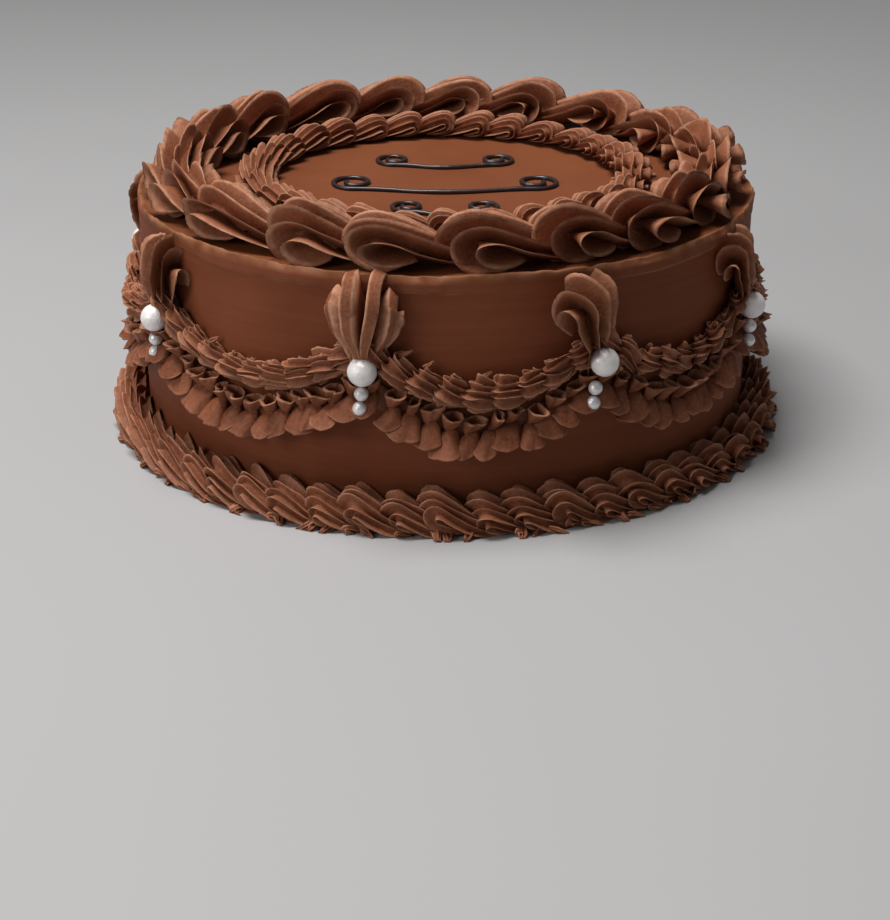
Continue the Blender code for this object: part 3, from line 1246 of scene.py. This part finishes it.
@dataclass
class Frill:
    """The ruffled ribbon under a swag: each pleat is an open cup, a pinched waist and a flared skirt.

    Attributes:
        below: Distance from the path down to the frill's upper edge.
        slant: How far the pleats lean to the left on their way down, as a share of their height.
    """

    swag: Swag
    below: float = 0.0064
    height: float = 0.0122
    pitch: float = 0.0057
    thickness: float = 0.0007
    slant: float = 0.24

    def build(self) -> bpy.types.Object:
        """Pipe the frill.

        Returns:
            The frill.
        """
        swag = self.swag
        draw = np.random.default_rng(500 + swag.index)
        pleats = round(swag.length() / self.pitch)
        skin = Skin()
        for i in range(pleats):
            self._pleat(skin, draw, (i + 0.5 + draw.uniform(-0.16, 0.16)) / pleats)
        self._web(skin)
        return skin.build(f"ruffled_skirt_{swag.index}", PIPED, f"frill_{swag.index}")

    def _pleat(self, skin: Skin, draw: np.random.Generator, share: float) -> None:
        """One pleat, as a pinched tube with thin walls.

        Args:
            skin: Takes the pleat.
            draw: Seeded random numbers.
            share: Its place along the swag.
        """
        waist = draw.uniform(0.50, 0.62)
        outer = np.concatenate((waist * SKIRT_LEVELS, waist + (1 - waist) * CUP_LEVELS))
        inner = np.array((1.0, 0.85, waist, 0.35, 0.0))
        level = np.concatenate((outer, inner))[None, :]
        inside = np.repeat((0.0, 1.0), (len(outer), len(inner)))[None, :]
        lap = np.linspace(0, 2 * math.pi, 28, endpoint=False)[:, None]
        way = lap / (2 * math.pi)
        cup = np.clip((level - waist) / (1 - waist), 0, 1)
        skirt = np.clip((waist - level) / waist, 0, 1)

        pinch = 0.0015 * draw.uniform(0.85, 1.25)
        step = 0.0006 * np.clip(skirt / 0.10, 0, 1) * (1 - inside)
        flare = draw.uniform(0.0013, 0.0027) + 0.0014 * (draw.random() < 0.25)
        half = pinch + step + draw.uniform(0.0005, 0.0024) * cup**0.7 + flare * skirt**0.75
        deep = 0.0010 + step + draw.uniform(0.0009, 0.0017) * cup**0.7
        deep = deep + draw.uniform(0.0010, 0.0018) * skirt**0.75
        wave = drift(draw, 1.0, way, level * 0.3) + 0.6 * drift(draw, 2.0, way)
        folds = 1 + (0.05 + 0.12 * skirt + 0.26 * cup) * wave
        half = np.maximum(half * folds - self.thickness * inside, 0.0002)
        deep = np.maximum(deep * folds - self.thickness * inside, 0.0002)
        front = np.cos(lap)
        side = half * np.sin(lap)
        out = 0.0009 + 0.0016 * skirt + 0.0012 * cup + deep * (1 + front)

        size = self.height * draw.uniform(0.86, 1.04)
        crease = 0.0007 * draw.uniform(-1, 1) * np.sin(lap) * bell(level, waist, 0.12)
        tilt = draw.uniform(-0.0009, 0.0009) * (cup - skirt) * np.sin(lap)
        hem = draw.uniform(0.0003, 0.0024) * skirt**2 * np.sin(lap) ** 2
        rise = -size * (1 - level) - (0.0009 * cup + 0.0007 * skirt) * front + crease + tilt + hem
        lean = -(self.slant + draw.uniform(-0.14, 0.14)) * size * (1 - level)
        top = self.swag.middle(share) - self.below + draw.uniform(-0.0012, 0.0009)
        # Pale rims of the cups and the hem: painted highlight, with some drier crust.
        edge = 0.7 * np.abs(2 * level - 1) ** 20 * np.ones_like(side)
        rows = on_cake(
            self.swag.turn(share, side + lean), self.swag.wall + np.maximum(out, -0.0002), top + rise
        )
        skin.loft(rows, edge, ends=False)

    def _web(self, skin: Skin) -> None:
        """The ribbon's back, which lies on the wall behind the pleats.

        Args:
            skin: Takes the ribbon.
        """
        share = np.linspace(0, 1, 60)[:, None]
        lap = np.linspace(0, 2 * math.pi, 12, endpoint=False)[None, :]
        middle = self.swag.middle(share) - self.below - 0.5 * self.height
        out = 0.0004 + 0.0009 * np.cos(lap) + 0.0003 * np.sin(share * 190)
        rows = on_cake(
            self.swag.turn(share), self.swag.wall + out, middle + 0.38 * self.height * np.sin(lap)
        )
        skin.loft(rows, np.zeros(rows.shape[:2]))


@dataclass
class Pearl:
    """A sugar pearl: a large one in the place of its solid, or a small one, which is on its plume's."""

    name: str
    centre: Array
    radius: float
    node: str
    finish: Finish = PEARLY

    def build(self) -> bpy.types.Object:
        """Roll the pearl.

        Returns:
            The pearl.
        """
        mesh = bpy.data.meshes.new(self.name)
        bm = bmesh.new()
        bmesh.ops.create_icosphere(bm, subdivisions=4, radius=self.radius)
        bm.to_mesh(mesh)
        bm.free()
        points = np.empty(len(mesh.vertices) * 3, np.float32)
        mesh.vertices.foreach_get("co", points)
        points = points.reshape(-1, 3)
        dents = 0.012 * lumps(points + self.centre, 0.0016, 3)
        points = points * (1 + dents)[:, None] + self.centre
        mesh.vertices.foreach_set("co", points.astype(np.float32).ravel())
        mesh.shade_smooth()
        return dress(bpy.data.objects.new(self.name, mesh), self.finish, self.node)


@dataclass
class IcedBody:
    """The smoothed cake, with the rough lip where the side coat was drawn up past the top, and a painted
    highlight along that lip.
    """

    radius: float
    height: float
    steps: int = 560

    def build(self) -> bpy.types.Object:
        """Ice the cake.

        Returns:
            The iced cake.
        """
        draw = np.random.default_rng(9)
        turn = np.linspace(0, 360, self.steps, endpoint=False)[:, None]
        lap = turn / 360
        profile = self._profile()
        size = profile[:, 0][None, :]
        level = profile[:, 1][None, :]
        near = bell(size, self.radius - 0.0004, 0.0014) * bell(level, self.height + 0.0006, 0.0013)
        ledge = self.height - 0.0040 + 0.0004 * drift(draw, 4, lap) + 0.0002 * drift(draw, 17, lap)
        band = np.clip(0.55 + 0.55 * drift(draw, 3, lap), 0, 1) * (size > self.radius - 0.003)
        above = np.clip((level - ledge) / 0.0004, 0, 1)
        below = np.clip((self.height + 0.0004 - level) / 0.0012, 0, 1)
        cover = band * above * below
        swell = sum(drift(draw, pace, lap) / weight for pace, weight in ((5, 1.0), (13, 1.6), (31, 2.6)))
        nicks = np.clip(drift(draw, 60, lap) - 0.25, 0, 1) * np.clip(drift(draw, 7, lap), 0, 1)
        rows = on_cake(
            turn,
            size + 0.0005 * near * swell + 0.0006 * cover,
            level + near * (0.0006 * swell - 0.0009 * nicks),
        )
        rows = rows + 0.00016 * lumps(rows, 0.012, 5)[..., None] * np.array((1, 1, 0.4))
        rows = rows + (0.00030 * near * lumps(rows, 0.0022, 8))[..., None]
        rows[..., 2] = np.maximum(rows[..., 2], 0)
        # Painted highlight: the lip, the band under it and the ledge line are paled for the light that they
        # catch.
        line = band * bell(level, ledge, 0.0003)
        pale = np.clip(near**2 * (0.9 + 0.6 * lumps(rows, 0.004, 6)) + 0.22 * cover + 0.8 * line, 0, 1)
        skin = Skin()
        skin.loft(rows, pale, ends=False)
        return skin.build("iced_cake", SMOOTHED, "cake_body")

    def _profile(self) -> Array:
        """The outline from the middle of the top, over the rim and down, to the middle of the base.

        Returns:
            Rows of distance from the axis and height.
        """
        r, h = self.radius, self.height
        top = [(x, h) for x in np.linspace(0, r - 0.007, 26)]
        rim = [
            (r - 0.0048, h),
            (r - 0.0030, h + 0.0001),
            (r - 0.0020, h + 0.0003),
            (r - 0.0013, h + 0.0008),
            (r - 0.0008, h + 0.0012),
            (r - 0.0004, h + 0.0013),
            (r - 0.0001, h + 0.0010),
            (r, h + 0.0004),
            (r, h - 0.0004),
        ]
        band = [(r, z) for z in np.linspace(h - 0.0014, h - 0.0056, 22)]
        side = [(r, z) for z in np.linspace(h - 0.0065, 0.0010, 32)]
        foot = [(r - 0.0008, 0.0), (r * 0.5, 0.0), (0.0, 0.0)]
        return np.array(top + rim + band + side + foot)


@dataclass
class Flourish:
    """A piped ornamental line on the top, fitted to its solid.

    Attributes:
        half_span: Distance from the middle to where the line curls up.
        curl: Radius of the curls at its ends.
        far: Distance of its far edge behind the axis.
        tightens: Share of its radius that a curl loses on the way in.
        windings: Turns of a curl.
    """

    name: str
    node: str
    half_span: float
    curl: float
    far: float
    floor: float
    radius: float = 0.0008
    tightens: float = 0.72
    windings: float = 1.35

    def build(self) -> bpy.types.Object:
        """Pipe the line.

        Returns:
            The line.
        """
        dip = np.linspace(0, 1, 24, endpoint=False)
        turn = np.linspace(0, 2 * self.windings * math.pi, 60)
        size = self.curl * (1 - self.tightens * turn / turn[-1])
        x = np.concatenate((self.half_span * dip, self.half_span + size * np.sin(turn)))
        sag = -0.25 * self.curl * (1 + np.cos(math.pi * dip))
        y = np.concatenate((sag, self.curl - size * np.cos(turn)))
        y = y + self.far - self.radius - y.max()
        line = np.stack((np.concatenate((-x[:0:-1], x)), np.concatenate((y[:0:-1], y))), axis=-1)
        ahead = np.gradient(line, axis=0)
        ahead /= np.linalg.norm(ahead, axis=-1, keepdims=True)
        side = np.stack((-ahead[:, 1], ahead[:, 0]), axis=-1)
        lap = np.linspace(0, 2 * math.pi, 14, endpoint=False)
        draw = np.random.default_rng(77)
        place = np.linspace(0, 1, len(line))
        end = np.clip(np.minimum(place, 1 - place) / 0.012, 0.15, 1) ** 0.5
        thick = self.radius * end * (1 + 0.10 * drift(draw, 9, place))
        ring = side[:, None, :] * (thick[:, None] * np.cos(lap))[..., None]
        rows = np.empty((len(line), len(lap), 3))
        rows[..., :2] = line[:, None, :] + ring
        rows[..., 2] = self.floor + np.maximum(thick[:, None] * (0.8 + np.sin(lap)), 0)
        skin = Skin()
        skin.loft(rows, np.zeros(rows.shape[:2]))
        return skin.build(self.name, INKY, self.node)


@dataclass(frozen=True)
class SoftBox:
    """A square light that faces the cake."""

    name: str
    place: tuple[float, float, float]
    size: float
    watts: float
    colour: Colour
    aim: float = 0.05

    def build(self) -> None:
        """Hang the light, turned to a point at the aim's height on the axis."""
        lamp = bpy.data.lights.new(self.name, "AREA")
        lamp.size = self.size
        lamp.energy = self.watts
        lamp.color = self.colour
        holder = bpy.data.objects.new(self.name, lamp)
        holder.location = self.place
        away = holder.location.copy()
        away.z -= self.aim
        holder.rotation_mode = "QUATERNION"
        holder.rotation_quaternion = away.to_track_quat("Z", "Y")
        bpy.context.scene.collection.objects.link(holder)


@dataclass
class Studio:
    """The floor, the lights and the camera.

    Attributes:
        distance: The camera's distance from the middle of the cake's underside.
        elevation: Its height above the floor as seen from there, in radians.
        droop: How far below that point it looks, in radians.
        surround: Colour of the surround, and its strength.
    """

    lens: float = 80.46
    sensor: float = 36.0
    distance: float = 0.7342
    elevation: float = 0.3818
    droop: float = 0.0295
    surround: tuple[Colour, float] = ((0.96, 0.95, 0.94), 0.145)
    lights: tuple[SoftBox, ...] = (
        SoftBox("key", (-0.28, -0.06, 1.18), 0.60, 18.5, (1.0, 0.97, 0.94)),
        SoftBox("fill", (-0.92, -0.66, 0.50), 0.50, 3.9, (1.0, 0.98, 0.96)),
    )

    def build(self) -> None:
        """Set everything up."""
        scene = bpy.context.scene
        scene.view_settings.view_transform = "Standard"
        self._world(scene)
        self._floor(scene)
        for light in self.lights:
            light.build()
        self._camera(scene)

    def _world(self, scene: bpy.types.Scene) -> None:
        """A soft even surround.

        Args:
            scene: The scene that is built.
        """
        colour, strength = self.surround
        world = bpy.data.worlds.new("surround")
        world.use_nodes = True
        back = world.node_tree.nodes["Background"]
        back.inputs["Color"].default_value = (*colour, 1)
        back.inputs["Strength"].default_value = strength
        scene.world = world

    def _floor(self, scene: bpy.types.Scene) -> None:
        """A pale floor that the cake stands on.

        Args:
            scene: The scene that is built.
        """
        mesh = bpy.data.meshes.new("floor")
        bm = bmesh.new()
        bmesh.ops.create_grid(bm, x_segments=4, y_segments=4, size=6.0)
        bm.to_mesh(mesh)
        bm.free()
        floor = bpy.data.objects.new("floor", mesh)
        scene.collection.objects.link(floor)
        mesh.materials.append(PALE.material())

    def _camera(self, scene: bpy.types.Scene) -> None:
        """The camera at the reference view.

        Args:
            scene: The scene that is built.
        """
        eye = bpy.data.cameras.new("camera")
        eye.lens = self.lens
        eye.sensor_width = self.sensor
        eye.clip_start = 0.01
        eye.clip_end = 20
        camera = bpy.data.objects.new("camera", eye)
        height = self.distance * math.sin(self.elevation)
        camera.location = (0, -self.distance * math.cos(self.elevation), height)
        camera.rotation_euler = (math.pi / 2 - self.elevation - self.droop, 0, 0)
        scene.collection.objects.link(camera)
        scene.camera = camera


def centre_of(node: str) -> Array:
    """The middle of a CAD node's box."""
    low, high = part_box(node)
    return (np.array(low) + np.array(high)) / 2


def angle_of(point: Array) -> float:
    """A point's angle from the front, in degrees."""
    return math.degrees(math.atan2(point[0], -point[1]))


@dataclass
class Cake:
    """The whole cake, built in the order in which it is decorated.

    Attributes:
        styles: How each plume was piped, from the first pearl on.
        stands_off: Gap between the solids.
        pearl: Radius of the large pearls.
        drop: Radius of the small ones, which hang at the drop_heights.
        drop_out: Distance from the iced side to their middles.
    """

    styles: tuple[PlumeStyle, ...] = (
        PlumeStyle.UPRIGHT,
        PlumeStyle.UPRIGHT,
        PlumeStyle.FAN,
        PlumeStyle.CURLED,
        PlumeStyle.TUCKED,
        PlumeStyle.LEANING,
        PlumeStyle.FAN,
        PlumeStyle.CURLED,
        PlumeStyle.LEANING,
    )
    stands_off: float = 0.0004
    pearl: float = 0.0045
    drop: float = 0.0022
    drop_heights: tuple[float, float] = (0.0448, 0.0400)
    drop_out: float = 0.0062

    def __post_init__(self) -> None:
        """Read the main sizes from the frame."""
        low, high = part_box("cake_body")
        self.radius = (high.x - low.x) / 2
        self.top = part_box("top_ruffle_border")[0].z - self.stands_off
        self.pearls = [centre_of(f"pearl_{i + 1}") for i in range(len(self.styles))]
        angles = [angle_of(pearl) for pearl in self.pearls]
        self.junctions = [angles[0] + (angle - angles[0]) % 360 for angle in angles]

    def body(self) -> None:
        """Ice the cake."""
        IcedBody(self.radius, self.top).build()

    def borders(self) -> None:
        """Pipe the three borders."""
        RuffleBorder().build(self.top)
        fine = StarTip.even(7, 0.42, 0.70, (0.10, 0.40))
        ShellBorder(
            "inner_shells",
            "inner_shell_border",
            Piping(fine, SHELL_STROKE, 28, wander=3, uneven=0.05, ragged=0.0001, lean=0.04),
            count=30,
            radius=0.0640,
            floor=self.top,
            height=0.0098,
            half_width=0.0078,
            overlap=0.0015,
            seed=31,
        ).build()
        ShellBorder(
            "base_shells",
            "base_shell_border",
            Piping(fine, FALLING_STROKE, 26, wander=6, uneven=0.12, ragged=0.0003, lean=0.10),
            count=55,
            radius=0.1092,
            floor=0.0,
            height=0.0148,
            half_width=0.0074,
            overlap=0.0030,
            seed=41,
            wall=self.radius - 0.0005,
            roll=-16,
            skew=0.20,
            scraps=2,
        ).build()

    def sides(self) -> None:
        """Hang the swags and pipe the plumes over their ends."""
        ends = [*self.junctions[1:], self.junctions[0] + 360]
        for i, (start, end, style) in enumerate(zip(self.junctions, ends, self.styles), start=1):
            swag = Swag(i, start, end, self.radius)
            Frill(swag).build()
            Garland(swag).build()
            Plume(i, start, style, self.radius).build()

    def pearl_drops(self) -> None:
        """Set the pearls on the plumes' tails, and the small ones clear of a curled leaf."""
        places = zip(self.pearls, self.junctions, self.styles)
        for i, (centre, angle, style) in enumerate(places, start=1):
            Pearl(f"large_pearl_{i}", centre, self.pearl, f"pearl_{i}").build()
            aside, below = (1.5, 0.0008) if style is PlumeStyle.CURLED else (0.2, 0.0)
            for j, height in enumerate(self.drop_heights):
                place = on_cake(angle - aside - 0.3 * j, self.radius + self.drop_out, height - below)
                Pearl(f"small_pearl_{i}_{j + 1}", place, self.drop, f"plume_{i}", SILVERY).build()

    def flourishes(self) -> None:
        """Pipe the ornament on the top."""
        sizes = {"back": (0.018, 0.0066), "middle": (0.031, 0.0080), "front": (0.012, 0.0060)}
        for place, (half_span, curl) in sizes.items():
            node = f"flourish_{place}"
            Flourish(f"scroll_{place}", node, half_span, curl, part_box(node)[1].y, self.top).build()


def main() -> None:
    """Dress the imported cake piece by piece."""
    logging.basicConfig(level=logging.INFO, format="%(message)s")
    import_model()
    cake = Cake()
    cake.body()
    cake.borders()
    cake.sides()
    cake.pearl_drops()
    cake.flourishes()
    Studio().build()


if __name__ == "__main__":
    main()
